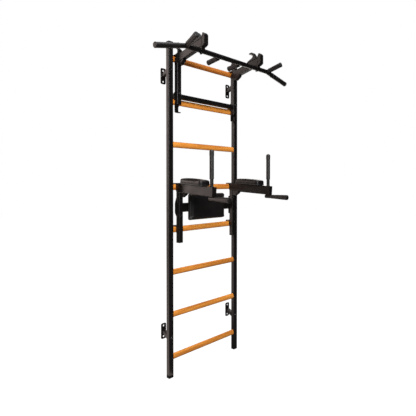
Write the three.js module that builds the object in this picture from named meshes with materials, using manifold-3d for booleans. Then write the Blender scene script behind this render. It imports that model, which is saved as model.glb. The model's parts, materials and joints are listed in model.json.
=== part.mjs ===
// Wall bars (a steel and beech gymnastics ladder) with two attachments that hook over the rungs:
// a pull-up bar with barbell rests at the top, and a dip station with a back pad in the middle.
// Millimetres. +X runs along the wall, +Y points at the wall, +Z is up. The origin is on the floor, under the
// middle of the bounding box. Inside the model group Y = 0 is the plane of the uprights' front faces.
// Every paired piece is drawn once, for the right-hand side, in a group that is mirrored for the left.
import * as THREE from "three";
import { mergeVertices } from "three/addons/utils/BufferGeometryUtils.js";
import Module from "manifold-3d";

const wasm = await Module();
wasm.setup();

// ---- driving dimensions ------------------------------------------------------------------------------
const GAP = 0.3; // between two pieces that touch
const SIDES_OF = { round: 16, hole: 10, bolt: 12 }; // how many flat sides stand for a full circle
const CORNER_STEPS = 2; // and for the rounded corner of a box tube
const SIDES = { left: -1, right: 1 };

const LADDER = { width: 670, height: 2200, rungs: 8, pitch: 280, lowestRung: 133 };
const UPRIGHT = { wide: 38, deep: 30, wall: 2, corner: 4 };
const RUNG = { tall: 39, deep: 24, intoUpright: 14 };
const END_PLUG = { cap: 3, foot: 6, length: 22, play: 0.3 };
const WALL_FACE = 88; // the wall, measured back from the uprights' front faces

const BRACKET = { x: 314, plate: 4, wide: 42, tall: 105, corner: 11, holeSpacing: 72, hole: 6 };
const STRUT = { wide: 26, tab: 6, tabTall: 30, endTall: 22, boltDepth: 15.7 };
const BRACKETS = { upper: { plate: 1989, bolt: 2014 }, lower: { plate: 289, bolt: 266 } };

// Dome-head bolts: the head's radius and height, the shank's radius and the radius of the hole for it.
const BRACKET_BOLT = { head: 7, height: 4.4, shank: 4, hole: 4.3 };
const POST_BOLT = { head: 6.5, height: 4, shank: 4, hole: 4.3 };
const DIP_BOLT = { head: 5, height: 3, shank: 3, hole: 3.3 };
const DOME = { flat: 0.55, shoulder: 0.88, shoulderHeight: 0.4, socket: 0.5, socketDepth: 0.55 }; // shares

const POST = { wide: 34, deep: 32, wall: 2, corner: 4, back: -0.5 };

const PULLUP = { postX: 272, postFoot: 1792, boltZ: 1862, armRear: 2064, armFront: -258 };
const ARM = { slope: 0.218, tall: 50, wall: 2 }; // the pull-up arm rises towards its front
const SADDLE = { halfWide: 15, bottom: 2091, rear: -212 };
const FOOT_STRAP = { thick: 5, back: 1.5, fillet: 20, bendAbove: 40, bend: 13, lip: 16, side: 2, tab: 20 };
const POST_HOOK = { plate: 5, thick: 6, halfWide: 16, drop: 20, rise: 43, gusset: 5 };
const HOOK_PLAY = 1.5; // between a rung and the prong behind it
const MAIN_BAR = { y: -236, z: 2093, bendX: 392, tipX: 624, tipZ: 2042, radius: 15, bore: 12.5 };
const STUB = { radius: 12, bore: 9.5 };
const BAR_GRIP = { radius: 17.3, bore: STUB.radius + GAP, end: 5, edge: 2 };
const FRONT_GRIP = { from: [392, -236, 2093], to: [412, -350, 2128], bare: 20 };
const REAR_GRIP = { from: [101, -236, 2093], to: [100, -122, 2078], bare: 20 };
const WING_GRIP_LENGTH = 179;
const BAR_BOLT = { head: 8, flat: 0.6, height: 6, shank: 4, hole: 4.3, clearUnderArmTop: 3 };
const BARBELL_REST = { halfWide: 18, wall: 4 };
const CROSSBAR = { size: 30, wall: 2, corner: 3, bottom: 1831, front: -31.5 };

const DIP = { postX: 259, postFoot: 887, footPlate: 3, armX: 259, armZ: 1250, armRear: -3.6, armLength: 356 };
const DIP_ARM = { wide: 34, tall: 60, wall: 2.5, corner: 5, endPlate: 3, splay: 3.2, droop: 3.6 }; // degrees
const DIP_HOOK = { halfWide: 16, leg: 40, armLeg: 46, thick: 7.5, over: 8, drop: 18, legBack: 2.4 };
const ARMREST = { wide: 88, tall: 37, rear: -58, front: -276, corner: 20 };
const UPRIGHT_GRIP = { x: 278, y: -335, tube: 11, bore: 8.5, sleeve: 13.5, from: 1305, to: 1481 };
const RINGS = { count: 3, from: 34, pitch: 9, wide: 5, slope: 2, proud: 1.2 }; // round an upright grip's top
const DIP_GRIP = { from: [276, -313, 1187], to: [288, -490, 1182], bare: 50, thin: 13.2, thick: 17 };
const HANDLE_WELD = { wide: 12, deep: 34, corner: 3, bottom: 1190, top: 1205 };
const BACK_PAD = { wide: 346, tall: 182, thick: 28, bottom: 1026, corner: 12 };
const BACK_RAIL = { bottom: 1086, top: 1146, deep: 20, wall: 2, corner: 3, reach: 240, plate: 4 };
const DIP_BOLTS = { upper: 1168, lower: 1064 }; // their heights
const GUSSET_HALF_WIDE = 14;

const UPRIGHT_X = (LADDER.width - UPRIGHT.wide) / 2;
const RUNG_Y = UPRIGHT.deep / 2;
const INNER_FACE = LADDER.width / 2 - UPRIGHT.wide;
const FRONT_REACH = 491; // the tips of the dip grips, measured forward from the uprights' front faces
const rungZ = (number) => LADDER.lowestRung + (LADDER.rungs - number) * LADDER.pitch; // 1 is the top rung
const rungTop = (number) => rungZ(number) + RUNG.tall / 2;
const RUNG_BACK = RUNG_Y + RUNG.deep / 2;

// ---- materials ---------------------------------------------------------------------------------------
function paint(color, roughness, metalness) {
  return new THREE.MeshStandardMaterial({ color, roughness, metalness });
}

const MATERIALS = {
  powderCoat: paint(0x17171a, 0.5, 0.2),
  beech: paint(0xd9904f, 0.55, 0),
  grip: paint(0x1b1a1b, 0.8, 0),
  vinyl: paint(0x141213, 0.4, 0),
  plastic: paint(0x101011, 0.6, 0),
  bolt: paint(0x2a2a2d, 0.4, 0.8),
};

// ---- solids ------------------------------------------------------------------------------------------
// A closed geometry as a manifold-3d solid. A profile drawn the other way round is turned to face out.
function solid(geometry, place) {
  const bare = new THREE.BufferGeometry().setAttribute("position", geometry.getAttribute("position").clone());
  bare.setIndex(geometry.index);
  if (place) bare.applyMatrix4(place);
  const merged = mergeVertices(bare, 1e-3);
  const index = merged.index.array;
  const triangles = [];
  for (let i = 0; i < index.length; i += 3) {
    const [a, b, c] = [index[i], index[i + 1], index[i + 2]];
    if (a !== b && b !== c && c !== a) triangles.push([a, b, c]);
  }
  const build = (list) =>
    new wasm.Manifold(
      new wasm.Mesh({
        numProp: 3,
        vertProperties: new Float32Array(merged.attributes.position.array),
        triVerts: new Uint32Array(list.flat()),
      }),
    );
  const made = build(triangles);
  return made.volume() < 0 ? build(triangles.map(([a, b, c]) => [a, c, b])) : made;
}

const join = (...solids) => solids.reduce((all, one) => all.add(one));
const cut = (base, ...tools) => tools.reduce((left, tool) => left.subtract(tool), base);

const X = new THREE.Vector3(1, 0, 0);
const Y = new THREE.Vector3(0, 1, 0);
const Z = new THREE.Vector3(0, 0, 1);
// Outlines are drawn in (Y, Z) for a prism along x, in (X, Z) along y and in (X, Y) along z.
const TURN = {
  x: new THREE.Matrix4().makeBasis(Y, Z, X),
  y: new THREE.Matrix4().makeBasis(X, Z, Y.clone().negate()),
  z: new THREE.Matrix4(),
};

// A full ellipse gets the number of sides asked for, and a quarter arc the default number of steps.
function prism(outline, axis, from, to, { sides = 2 * CORNER_STEPS, place } = {}) {
  const settings = { depth: to - from, bevelEnabled: false, curveSegments: sides / 2 };
  const geometry = new THREE.ExtrudeGeometry(outline, settings);
  geometry.translate(0, 0, axis === "y" ? -to : from);
  geometry.applyMatrix4(TURN[axis]);
  return solid(geometry, place);
}

const polygon = (points) => new THREE.Shape(points.map(([u, v]) => new THREE.Vector2(u, v)));

function roundedRect(wide, tall, radius, u = 0, v = 0) {
  const [w, h] = [wide / 2 - radius, tall / 2 - radius];
  const shape = new THREE.Shape();
  shape.absarc(u + w, v + h, radius, 0, Math.PI / 2);
  shape.absarc(u - w, v + h, radius, Math.PI / 2, Math.PI);
  shape.absarc(u - w, v - h, radius, Math.PI, 1.5 * Math.PI);
  shape.absarc(u + w, v - h, radius, 1.5 * Math.PI, 2 * Math.PI);
  return shape;
}

function oval(wide, tall, u = 0, v = 0) {
  return new THREE.Shape().absellipse(u, v, wide / 2, tall / 2, 0, 2 * Math.PI);
}

function boxTubeOutline({ wide, tall, wall, corner }, u = 0, v = 0) {
  const outline = roundedRect(wide, tall, corner, u, v);
  outline.holes.push(roundedRect(wide - 2 * wall, tall - 2 * wall, corner - wall, u, v));
  return outline;
}

const vector = (point) => new THREE.Vector3(...point);

// The placing that carries a shape along +Y from the origin to start at one point and run towards another.
function towards(from, to) {
  const direction = vector(to).sub(vector(from)).normalize();
  const turn = new THREE.Quaternion().setFromUnitVectors(Y, direction);
  return new THREE.Matrix4().compose(vector(from), turn, new THREE.Vector3(1, 1, 1));
}

function rod(from, to, radius, sides = SIDES_OF.round) {
  const length = vector(to).distanceTo(vector(from));
  const geometry = new THREE.CylinderGeometry(radius, radius, length, sides);
  return solid(geometry.translate(0, length / 2, 0), towards(from, to));
}

const ball = (at, radius) =>
  solid(new THREE.SphereGeometry(radius, SIDES_OF.round, SIDES_OF.round / 2).translate(...at));

// A turned piece: profile points are [radius, distance from the start].
function turned(profile, from, to, sides = SIDES_OF.round) {
  const points = profile.map(([r, y]) => new THREE.Vector2(r, y));
  return solid(new THREE.LatheGeometry([...points, points[0].clone()], sides), towards(from, to));
}

// A point a given distance along the line from one point to another.
function along(from, to, distance) {
  const step = vector(to).sub(vector(from)).normalize().multiplyScalar(distance);
  return vector(from).add(step).toArray();
}

function piece(parent, name, shape, material) {
  const { vertProperties, triVerts } = shape.getMesh();
  const indexed = new THREE.BufferGeometry();
  indexed.setAttribute("position", new THREE.BufferAttribute(vertProperties, 3));
  indexed.setIndex(new THREE.BufferAttribute(triVerts, 1));
  const geometry = indexed.toNonIndexed();
  geometry.computeVertexNormals();
  const mesh = new THREE.Mesh(geometry, material);
  mesh.name = name;
  parent.add(mesh);
}

// ---- bolts -------------------------------------------------------------------------------------------
// A dome-head bolt along +Y, with the underside of its head on the face at y and a hexagon socket in it.
function bolt([x, y, z], { head, height, shank }, length) {
  const front = y - GAP - height;
  const profile = [
    [0, 0],
    [head * DOME.flat, 0],
    [head * DOME.shoulder, height * DOME.shoulderHeight],
    [head, height],
    [shank, height],
    [shank, height + length],
    [0, height + length],
  ];
  const socketRadius = head * DOME.socket;
  const socket = new THREE.CylinderGeometry(socketRadius, socketRadius, 2 * height * DOME.socketDepth, 6);
  const body = turned(profile, [x, front, z], [x, front + 1, z], SIDES_OF.bolt);
  return cut(body, solid(socket.translate(x, front, z)));
}

// A cutter along y. It passes a little beyond both faces.
function boltHole(x, z, radius, from, to) {
  return prism(oval(2 * radius, 2 * radius, x, z), "y", from - 1, to + 1, { sides: SIDES_OF.hole });
}

// ---- ladder ------------------------------------------------------------------------------------------
function upright(half, side) {
  const { wide, deep, wall, corner } = UPRIGHT;
  const section = { wide, tall: deep, wall, corner };
  const [bottom, top] = [END_PLUG.foot + GAP, LADDER.height - END_PLUG.cap - GAP];
  const holes = [];
  for (let number = 1; number <= LADDER.rungs; number++) {
    const hole = oval(RUNG.deep + 2 * GAP, RUNG.tall + 2 * GAP, RUNG_Y, rungZ(number));
    holes.push(prism(hole, "x", INNER_FACE - 1, INNER_FACE + wall + 1, { sides: SIDES_OF.round }));
  }
  for (const heights of Object.values(BRACKETS)) {
    holes.push(boltHole(BRACKET.x, heights.bolt, BRACKET_BOLT.hole, 0, deep));
  }
  const tube = prism(boxTubeOutline(section, UPRIGHT_X, RUNG_Y), "z", bottom, top);
  piece(half, `upright_${side}`, cut(tube, ...holes), MATERIALS.powderCoat);
}

// A plastic plug with a flange as wide as the upright, for the top of the tube (up) or its foot (down).
function endPlug(half, name, faceZ, thick, inward) {
  const { wide, deep, wall, corner } = UPRIGHT;
  const spare = 2 * (wall + END_PLUG.play);
  const flange = roundedRect(wide, deep, corner, UPRIGHT_X, RUNG_Y);
  const stem = roundedRect(wide - spare, deep - spare, corner - wall, UPRIGHT_X, RUNG_Y);
  const sorted = (a, b) => (a < b ? [a, b] : [b, a]);
  const body = join(
    prism(flange, "z", ...sorted(faceZ, faceZ + inward * thick)),
    prism(stem, "z", ...sorted(faceZ + inward * (thick - 1), faceZ + inward * (thick + END_PLUG.length))),
  );
  piece(half, name, body, MATERIALS.plastic);
}

function wallBracket(half, name, { plate: plateZ, bolt: boltZ }) {
  const { x, plate, wide, tall, corner, holeSpacing, hole } = BRACKET;
  const plateFront = WALL_FACE - plate;
  const outline = roundedRect(wide, tall, corner, x, plateZ);
  for (const sign of [-1, 1]) {
    outline.holes.push(oval(2 * hole, 2 * hole, x, plateZ + (sign * holeSpacing) / 2));
  }
  const tabFront = UPRIGHT.deep + GAP;
  const [tabHalf, endHalf] = [STRUT.tabTall / 2, STRUT.endTall / 2];
  const arm = polygon([
    [tabFront, boltZ - tabHalf],
    [tabFront, boltZ + tabHalf],
    [tabFront + STRUT.tab, boltZ + tabHalf],
    [plateFront + 1, plateZ + endHalf],
    [plateFront + 1, plateZ - endHalf],
    [tabFront + STRUT.tab, boltZ - tabHalf],
  ]);
  const body = join(
    prism(outline, "y", plateFront, WALL_FACE, { sides: SIDES_OF.hole }),
    prism(arm, "x", x - STRUT.wide / 2, x + STRUT.wide / 2),
  );
  const socket = boltHole(x, boltZ, BRACKET_BOLT.hole, tabFront, tabFront + STRUT.boltDepth - 1);
  piece(half, name, cut(body, socket), MATERIALS.powderCoat);
}

function ladderHalf(half, side) {
  upright(half, side);
  endPlug(half, `top_cap_${side}`, LADDER.height, END_PLUG.cap, -1);
  endPlug(half, `foot_${side}`, 0, END_PLUG.foot, 1);
  for (const [level, heights] of Object.entries(BRACKETS)) {
    wallBracket(half, `wall_bracket_${level}_${side}`, heights);
    const length = UPRIGHT.deep + STRUT.boltDepth - GAP;
    const shape = bolt([BRACKET.x, 0, heights.bolt], BRACKET_BOLT, length);
    piece(half, `bracket_bolt_${level}_${side}`, shape, MATERIALS.bolt);
  }
}

function rungs(parent) {
  const reach = INNER_FACE + RUNG.intoUpright;
  for (let number = 1; number <= LADDER.rungs; number++) {
    const outline = oval(RUNG.deep, RUNG.tall, RUNG_Y, rungZ(number));
    const shape = prism(outline, "x", -reach, reach, { sides: SIDES_OF.round });
    piece(parent, `rung_${number}`, shape, MATERIALS.beech);
  }
}

// ---- attachment posts --------------------------------------------------------------------------------
const POST_FRONT = POST.back - POST.deep;
const postSection = { wide: POST.wide, tall: POST.deep, wall: POST.wall, corner: POST.corner };

function postTube(x, from, to) {
  return prism(boxTubeOutline(postSection, x, POST.back - POST.deep / 2), "z", from, to);
}

// ---- pull-up attachment ------------------------------------------------------------------------------
// The post ends in a J-shaped strap, which passes in front of the rung below when the attachment is set down.
function pullupPost(half, side) {
  const { postX, postFoot, boltZ, armRear } = PULLUP;
  const { thick, back, fillet, bendAbove, bend, lip, side: inset, tab } = FOOT_STRAP;
  const front = back - thick;
  const curl = { y: back - bend, z: postFoot - bendAbove };
  const strap = new THREE.Shape();
  strap.moveTo(POST.back, postFoot + tab);
  strap.lineTo(POST.back - thick, postFoot + tab);
  strap.lineTo(POST.back - thick, postFoot + 1);
  strap.lineTo(front - fillet, postFoot + 1);
  strap.absarc(front - fillet, postFoot - fillet, fillet, Math.PI / 2, 0, true);
  strap.absarc(curl.y, curl.z, bend - thick, 0, -Math.PI / 2, true);
  strap.lineTo(curl.y - lip, curl.z - bend + thick);
  strap.lineTo(curl.y - lip, curl.z - bend + 1);
  strap.absarc(curl.y, curl.z, bend, -Math.PI / 2, 0, false);
  strap.lineTo(back, postFoot - GAP);
  strap.lineTo(POST.back, postFoot - GAP);
  const [left, right] = [postX - POST.wide / 2 + inset, postX + POST.wide / 2 - inset];
  const body = join(
    postTube(postX, postFoot, armRear - GAP),
    prism(strap, "x", left, right, { sides: SIDES_OF.hole }),
  );
  const hole = boltHole(postX, boltZ, POST_BOLT.hole, POST_FRONT, POST.back);
  piece(half, `pullup_post_${side}`, cut(body, hole), MATERIALS.powderCoat);
}

// The heights of the arm's lower and upper faces at a distance y.
const armUnder = (y) => PULLUP.armRear + ARM.slope * (POST_FRONT - y);
const armOver = (y) => armUnder(y) + ARM.tall;

// The arm is a box tube that rises towards its front. Its rear end is cut to a C-shaped strap, whose lower
// prong hooks over the top rung. A saddle under its front end holds the main bar, and a gusset braces it.
function pullupArm(half, side) {
  const { postX, armRear, armFront } = PULLUP;
  const { wall } = ARM;
  const shell = polygon([
    [POST.back, armRear],
    [POST.back, 2088],
    [-22, 2106],
    [-34, armOver(-34)],
    [armFront, armOver(armFront)],
    [armFront, armUnder(armFront)],
    [POST_FRONT, armRear],
  ]);
  const hollow = polygon([
    [-4, armRear + wall],
    [-4, 2086],
    [-24, 2103],
    [-36, armOver(-36) - wall],
    [armFront - 1, armOver(armFront - 1) - wall],
    [armFront - 1, armUnder(armFront - 1) + wall],
    [POST_FRONT, armRear + wall],
  ]);
  const seat = rungTop(1) + GAP;
  const hook = polygon([
    [-20, seat],
    [29, seat],
    [29, seat - 14],
    [35, seat - 14],
    [35, seat + 3],
    [31, seat + 6],
    [-13, seat + 6],
    [-30, 2127],
    [-30, 2143],
    [-3, 2166],
    [-8, 2171],
    [-38, 2146],
    [-38, 2113],
    [-22, 2104],
  ]);
  const gusset = polygon([
    [POST_FRONT - GAP, armRear + 1],
    [-87, armUnder(-87) + 1],
    [-83, 2064],
    [-52, 2044],
    [POST_FRONT - GAP, 2044],
  ]);
  const saddle = polygon([
    [SADDLE.rear, armUnder(SADDLE.rear) + 1],
    [SADDLE.rear, SADDLE.bottom + 4],
    [SADDLE.rear - 4, SADDLE.bottom],
    [armFront, SADDLE.bottom],
    [armFront, armUnder(armFront) + 1],
  ]);
  const halfWide = POST.wide / 2;
  const body = join(
    cut(
      prism(shell, "x", postX - halfWide, postX + halfWide),
      prism(hollow, "x", postX - halfWide + wall, postX + halfWide - wall),
    ),
    prism(hook, "x", postX - halfWide, postX + halfWide),
    prism(gusset, "x", postX - GUSSET_HALF_WIDE, postX + GUSSET_HALF_WIDE),
    prism(saddle, "x", postX - SADDLE.halfWide, postX + SADDLE.halfWide),
  );
  const seatRadius = MAIN_BAR.radius + GAP;
  const slotDrop = seatRadius; // the slot is open downwards
  const slot = roundedRect(
    2 * seatRadius,
    2 * (seatRadius + slotDrop),
    seatRadius - 0.01,
    MAIN_BAR.y,
    MAIN_BAR.z - slotDrop,
  );
  const cutter = prism(slot, "x", postX - POST.wide, postX + POST.wide, { sides: SIDES_OF.hole });
  const boltEnd = [postX, MAIN_BAR.y, armUnder(MAIN_BAR.y) + 4 * wall];
  const hole = rod([postX, MAIN_BAR.y, MAIN_BAR.z], boltEnd, BAR_BOLT.hole, SIDES_OF.hole);
  piece(half, `pullup_arm_${side}`, cut(body, join(cutter, hole)), MATERIALS.powderCoat);
}

// The hook behind the post: a back plate, a strap over the second rung and a gusset at each edge.
function postHook(half, side) {
  const { postX, boltZ } = PULLUP;
  const { plate, thick, halfWide, drop, rise, gusset: gussetThick } = POST_HOOK;
  const seat = rungTop(2) + GAP;
  const front = POST.back + GAP;
  const prong = RUNG_BACK + HOOK_PLAY;
  const strap = polygon([
    [front, seat],
    [prong, seat],
    [prong, seat - drop],
    [prong + thick, seat - drop],
    [prong + thick, seat + 3],
    [prong + thick - 3.5, seat + thick],
    [front + plate, seat + thick],
    [front + plate, seat + rise],
    [front, seat + rise],
  ]);
  const gusset = polygon([
    [front + 1, seat + 1],
    [prong + 2.5, seat + 1],
    [prong + 2.5, seat + thick + 3],
    [front + 2 * plate, seat + rise - 5],
    [front + 1, seat + rise - 5],
  ]);
  const body = join(
    prism(strap, "x", postX - halfWide, postX + halfWide),
    prism(gusset, "x", postX - halfWide, postX - halfWide + gussetThick),
    prism(gusset, "x", postX + halfWide - gussetThick, postX + halfWide),
  );
  const hole = boltHole(postX, boltZ, POST_BOLT.hole, front, front + plate);
  piece(half, `pullup_hook_${side}`, cut(body, hole), MATERIALS.powderCoat);
}

// A forked rest on the end of the arm: a barbell lies in the V between its prongs. The rear prong is a claw.
function barbellRest(half, side) {
  const { postX, armFront } = PULLUP;
  const { halfWide, wall } = BARBELL_REST;
  const tip = armFront - GAP;
  const outline = polygon([
    [-158, armOver(-158) + GAP],
    [-166, 2153],
    [-203, 2169],
    [-213, 2179],
    [-210, 2190],
    [-197, 2197],
    [-183, 2199],
    [-180, 2205],
    [-187, 2210],
    [-201, 2212],
    [-215, 2204],
    [-229, 2184],
    [-237, 2168],
    [-246, 2164],
    [-253, 2170],
    [-269, 2193],
    [-282, 2179],
    [-282, 2122],
    [-262, 2109],
    [tip, 2109],
    [tip, armOver(tip) + GAP],
  ]);
  // The inside of the shell. Its rear half is open below, over the arm, and its front half to the arm's end.
  const rearHollow = polygon([
    [-174, 2136],
    [-174, 2151],
    [-207, 2166],
    [-219, 2181],
    [-224, 2182],
    [-231, 2168],
    [-233, 2150],
  ]);
  const frontHollow = polygon([
    [-278, 2125],
    [-278, 2177],
    [-270, 2185],
    [-262, 2173],
    [-260, 2160],
    [tip + 2, 2160],
    [tip + 2, 2114],
    [-263, 2114],
  ]);
  const [left, right] = [postX - halfWide + wall, postX + halfWide - wall];
  const body = cut(
    prism(outline, "x", postX - halfWide, postX + halfWide),
    join(prism(rearHollow, "x", left, right), prism(frontHollow, "x", left, right)),
  );
  piece(half, `barbell_rest_${side}`, body, MATERIALS.powderCoat);
}

// A closed-end rubber sleeve on a bare stub.
function gripSleeve(from, to, bare, bore, radius) {
  const length = vector(to).distanceTo(vector(from)) - bare;
  const { end, edge } = BAR_GRIP;
  const profile = [
    [0, length - end],
    [bore, length - end],
    [bore, 0],
    [radius - edge / 2, 0],
    [radius, edge],
    [radius, length - edge],
    [radius - edge, length],
    [0, length],
  ];
  return turned(profile, along(from, to, bare), to);
}

// A bare stub: the tube inside a sleeve, short of the sleeve's closed end.
function stubTube(from, to, radius, bore) {
  const length = vector(to).distanceTo(vector(from)) - BAR_GRIP.end - GAP;
  return {
    outer: rod(from, along(from, to, length), radius),
    inner: rod(from, along(from, to, length + 3), bore),
  };
}

function mainBar(parent) {
  const { y, z, bendX, tipX, tipZ, radius, bore } = MAIN_BAR;
  const middle = [
    [-bendX, y, z],
    [bendX, y, z],
  ];
  const outer = [rod(...middle, radius)];
  const inner = [rod(...middle, bore)];
  for (const sign of Object.values(SIDES)) {
    const mirror = ([px, py, pz]) => [sign * px, py, pz];
    outer.push(ball([sign * bendX, y, z], radius));
    inner.push(ball([sign * bendX, y, z], bore));
    const tubes = [
      stubTube([sign * bendX, y, z], [sign * tipX, y, tipZ], radius, bore),
      stubTube(mirror(FRONT_GRIP.from), mirror(FRONT_GRIP.to), STUB.radius, STUB.bore),
      stubTube(mirror(REAR_GRIP.from), mirror(REAR_GRIP.to), STUB.radius, STUB.bore),
    ];
    outer.push(...tubes.map((tube) => tube.outer));
    inner.push(...tubes.map((tube) => tube.inner));
    const boltX = sign * PULLUP.postX;
    inner.push(rod([boltX, y, z - 2 * radius], [boltX, y, z + 2 * radius], BAR_BOLT.hole, SIDES_OF.hole));
  }
  piece(parent, "main_bar", cut(join(...outer), join(...inner)), MATERIALS.powderCoat);
}

function pullupGrips(half, side) {
  const { y, z, bendX, tipX, tipZ, radius } = MAIN_BAR;
  const wing = [
    [bendX, y, z],
    [tipX, y, tipZ],
  ];
  const wingBare = vector(wing[1]).distanceTo(vector(wing[0])) - WING_GRIP_LENGTH;
  const grips = {
    wing: gripSleeve(...wing, wingBare, radius + GAP, BAR_GRIP.radius),
    front: gripSleeve(FRONT_GRIP.from, FRONT_GRIP.to, FRONT_GRIP.bare, BAR_GRIP.bore, BAR_GRIP.radius),
    rear: gripSleeve(REAR_GRIP.from, REAR_GRIP.to, REAR_GRIP.bare, BAR_GRIP.bore, BAR_GRIP.radius),
  };
  for (const [name, shape] of Object.entries(grips)) {
    piece(half, `${name}_grip_${side}`, shape, MATERIALS.grip);
  }
}

// The bolt that holds the main bar in its saddle comes up through the bar from below.
function barBolt(half, side) {
  const { head, flat, height, shank, clearUnderArmTop } = BAR_BOLT;
  const under = MAIN_BAR.z - MAIN_BAR.radius - 1;
  const top = armOver(MAIN_BAR.y + shank) - clearUnderArmTop;
  const profile = [
    [0, 0],
    [head * flat, 0],
    [head, height * flat],
    [head, height],
    [shank, height],
    [shank, top - under + height],
    [0, top - under + height],
  ];
  const start = [PULLUP.postX, MAIN_BAR.y, under - height];
  const end = [PULLUP.postX, MAIN_BAR.y, top];
  piece(half, `bar_bolt_${side}`, turned(profile, start, end, SIDES_OF.bolt), MATERIALS.bolt);
}

function pullupCrossbar(parent) {
  const { size, wall, corner, bottom, front } = CROSSBAR;
  const reach = PULLUP.postX - POST.wide / 2 - GAP;
  const section = { wide: size, tall: size, wall, corner };
  const outline = boxTubeOutline(section, front + size / 2, bottom + size / 2);
  piece(parent, "pullup_crossbar", prism(outline, "x", -reach, reach), MATERIALS.powderCoat);
}

function pullupHalf(half, side) {
  pullupPost(half, side);
  pullupArm(half, side);
  postHook(half, side);
  barbellRest(half, side);
  pullupGrips(half, side);
  barBolt(half, side);
  const length = POST.deep + POST_HOOK.plate;
  const shape = bolt([PULLUP.postX, POST_FRONT, PULLUP.boltZ], POST_BOLT, length);
  piece(half, `pullup_bolt_${side}`, shape, MATERIALS.bolt);
}

// ---- dip station -------------------------------------------------------------------------------------
// Carries the arm's own frame, in which it runs along -Y, to its place: it droops and splays to the front.
const ARM_PLACE = new THREE.Matrix4().compose(
  new THREE.Vector3(DIP.armX, DIP.armRear, DIP.armZ),
  new THREE.Quaternion().setFromEuler(
    new THREE.Euler(THREE.MathUtils.degToRad(DIP_ARM.droop), 0, THREE.MathUtils.degToRad(DIP_ARM.splay)),
  ),
  new THREE.Vector3(1, 1, 1),
);

function armOutline(grow) {
  return roundedRect(DIP_ARM.wide + 2 * grow, DIP_ARM.tall + 2 * grow, DIP_ARM.corner + grow);
}

// A hook over a rung, seen along the rung, with a leg down the rung's front.
function rungHook(rung, front, leg) {
  const { thick, over, drop, legBack } = DIP_HOOK;
  const seat = rungTop(rung) + GAP;
  const prong = RUNG_BACK + HOOK_PLAY;
  return polygon([
    [front, seat - leg],
    [legBack, seat - leg],
    [legBack, seat],
    [prong, seat],
    [prong, seat - drop],
    [prong + thick, seat - drop],
    [prong + thick, seat + over / 2],
    [prong + thick - 4, seat + over],
    [front, seat + over],
  ]);
}

// The post: a closed foot, and a hook over the fifth rung. Its top is cut out round the arm.
function dipPost(half, side) {
  const { postX, postFoot, footPlate, armZ } = DIP;
  const foot = roundedRect(POST.wide, POST.deep, POST.corner, postX, POST.back - POST.deep / 2);
  const [left, right] = [postX - DIP_HOOK.halfWide, postX + DIP_HOOK.halfWide];
  const body = join(
    postTube(postX, postFoot, armZ),
    prism(foot, "z", postFoot, postFoot + footPlate),
    prism(rungHook(5, POST.back - 1, DIP_HOOK.leg), "x", left, right),
  );
  const arm = prism(armOutline(GAP), "y", -DIP.armLength, DIP_ARM.tall, { place: ARM_PLACE });
  const holes = Object.values(DIP_BOLTS).map((z) => boltHole(postX, z, DIP_BOLT.hole, POST_FRONT, POST.back));
  piece(half, `dip_post_${side}`, cut(body, arm, ...holes), MATERIALS.powderCoat);
}

// The arm: a box tube closed at the front, with the upright grip's tube, the dip handle's tube and a gusset.
function dipArm(half, side) {
  const { wall, endPlate, corner, wide, tall } = DIP_ARM;
  const tube = cut(
    prism(armOutline(0), "y", -DIP.armLength, 0, { place: ARM_PLACE }),
    prism(roundedRect(wide - 2 * wall, tall - 2 * wall, corner - wall), "y", -DIP.armLength + endPlate, 5, {
      place: ARM_PLACE,
    }),
  );
  const gusset = polygon([
    [POST_FRONT - GAP, 1223],
    [-88, 1219],
    [-84, 1205],
    [-54, 1187],
    [POST_FRONT - GAP, 1187],
  ]);
  const { x, y, tube: tubeRadius, bore, to } = UPRIGHT_GRIP;
  const standBase = [x, y, DIP.armZ];
  const stand = stubTube(standBase, [x, y, to], tubeRadius, bore);
  const handle = stubTube(DIP_GRIP.from, DIP_GRIP.to, STUB.radius, STUB.bore);
  const weldOutline = roundedRect(HANDLE_WELD.wide, HANDLE_WELD.deep, HANDLE_WELD.corner, x - 1, y + 2);
  const weld = prism(weldOutline, "z", HANDLE_WELD.bottom, HANDLE_WELD.top);
  const { from: root, to: tip } = DIP_GRIP;
  const handleBore = rod(along(root, tip, 3), along(root, tip, 200), STUB.bore); // closed at its root
  const brace = prism(gusset, "x", DIP.postX - GUSSET_HALF_WIDE, DIP.postX + GUSSET_HALF_WIDE);
  const body = join(tube, brace, stand.outer, weld, handle.outer);
  piece(half, `dip_arm_${side}`, cut(body, stand.inner, handleBore), MATERIALS.powderCoat);
}

// The hook over the fourth rung, on the rear end of the arm.
function dipHook(half, side) {
  const outline = rungHook(4, POST.back + GAP, DIP_HOOK.armLeg);
  const shape = prism(outline, "x", DIP.armX - DIP_HOOK.halfWide, DIP.armX + DIP_HOOK.halfWide);
  piece(half, `dip_hook_${side}`, shape, MATERIALS.powderCoat);
}

function armrestPad(half, side) {
  const { wide, tall, rear, front, corner } = ARMREST;
  const outline = roundedRect(wide, rear - front, corner, 0, (rear + front) / 2);
  const bottom = DIP_ARM.tall / 2 + GAP;
  const pad = prism(outline, "z", bottom, bottom + tall, { sides: SIDES_OF.hole, place: ARM_PLACE });
  piece(half, `armrest_pad_${side}`, pad, MATERIALS.vinyl);
}

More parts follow.
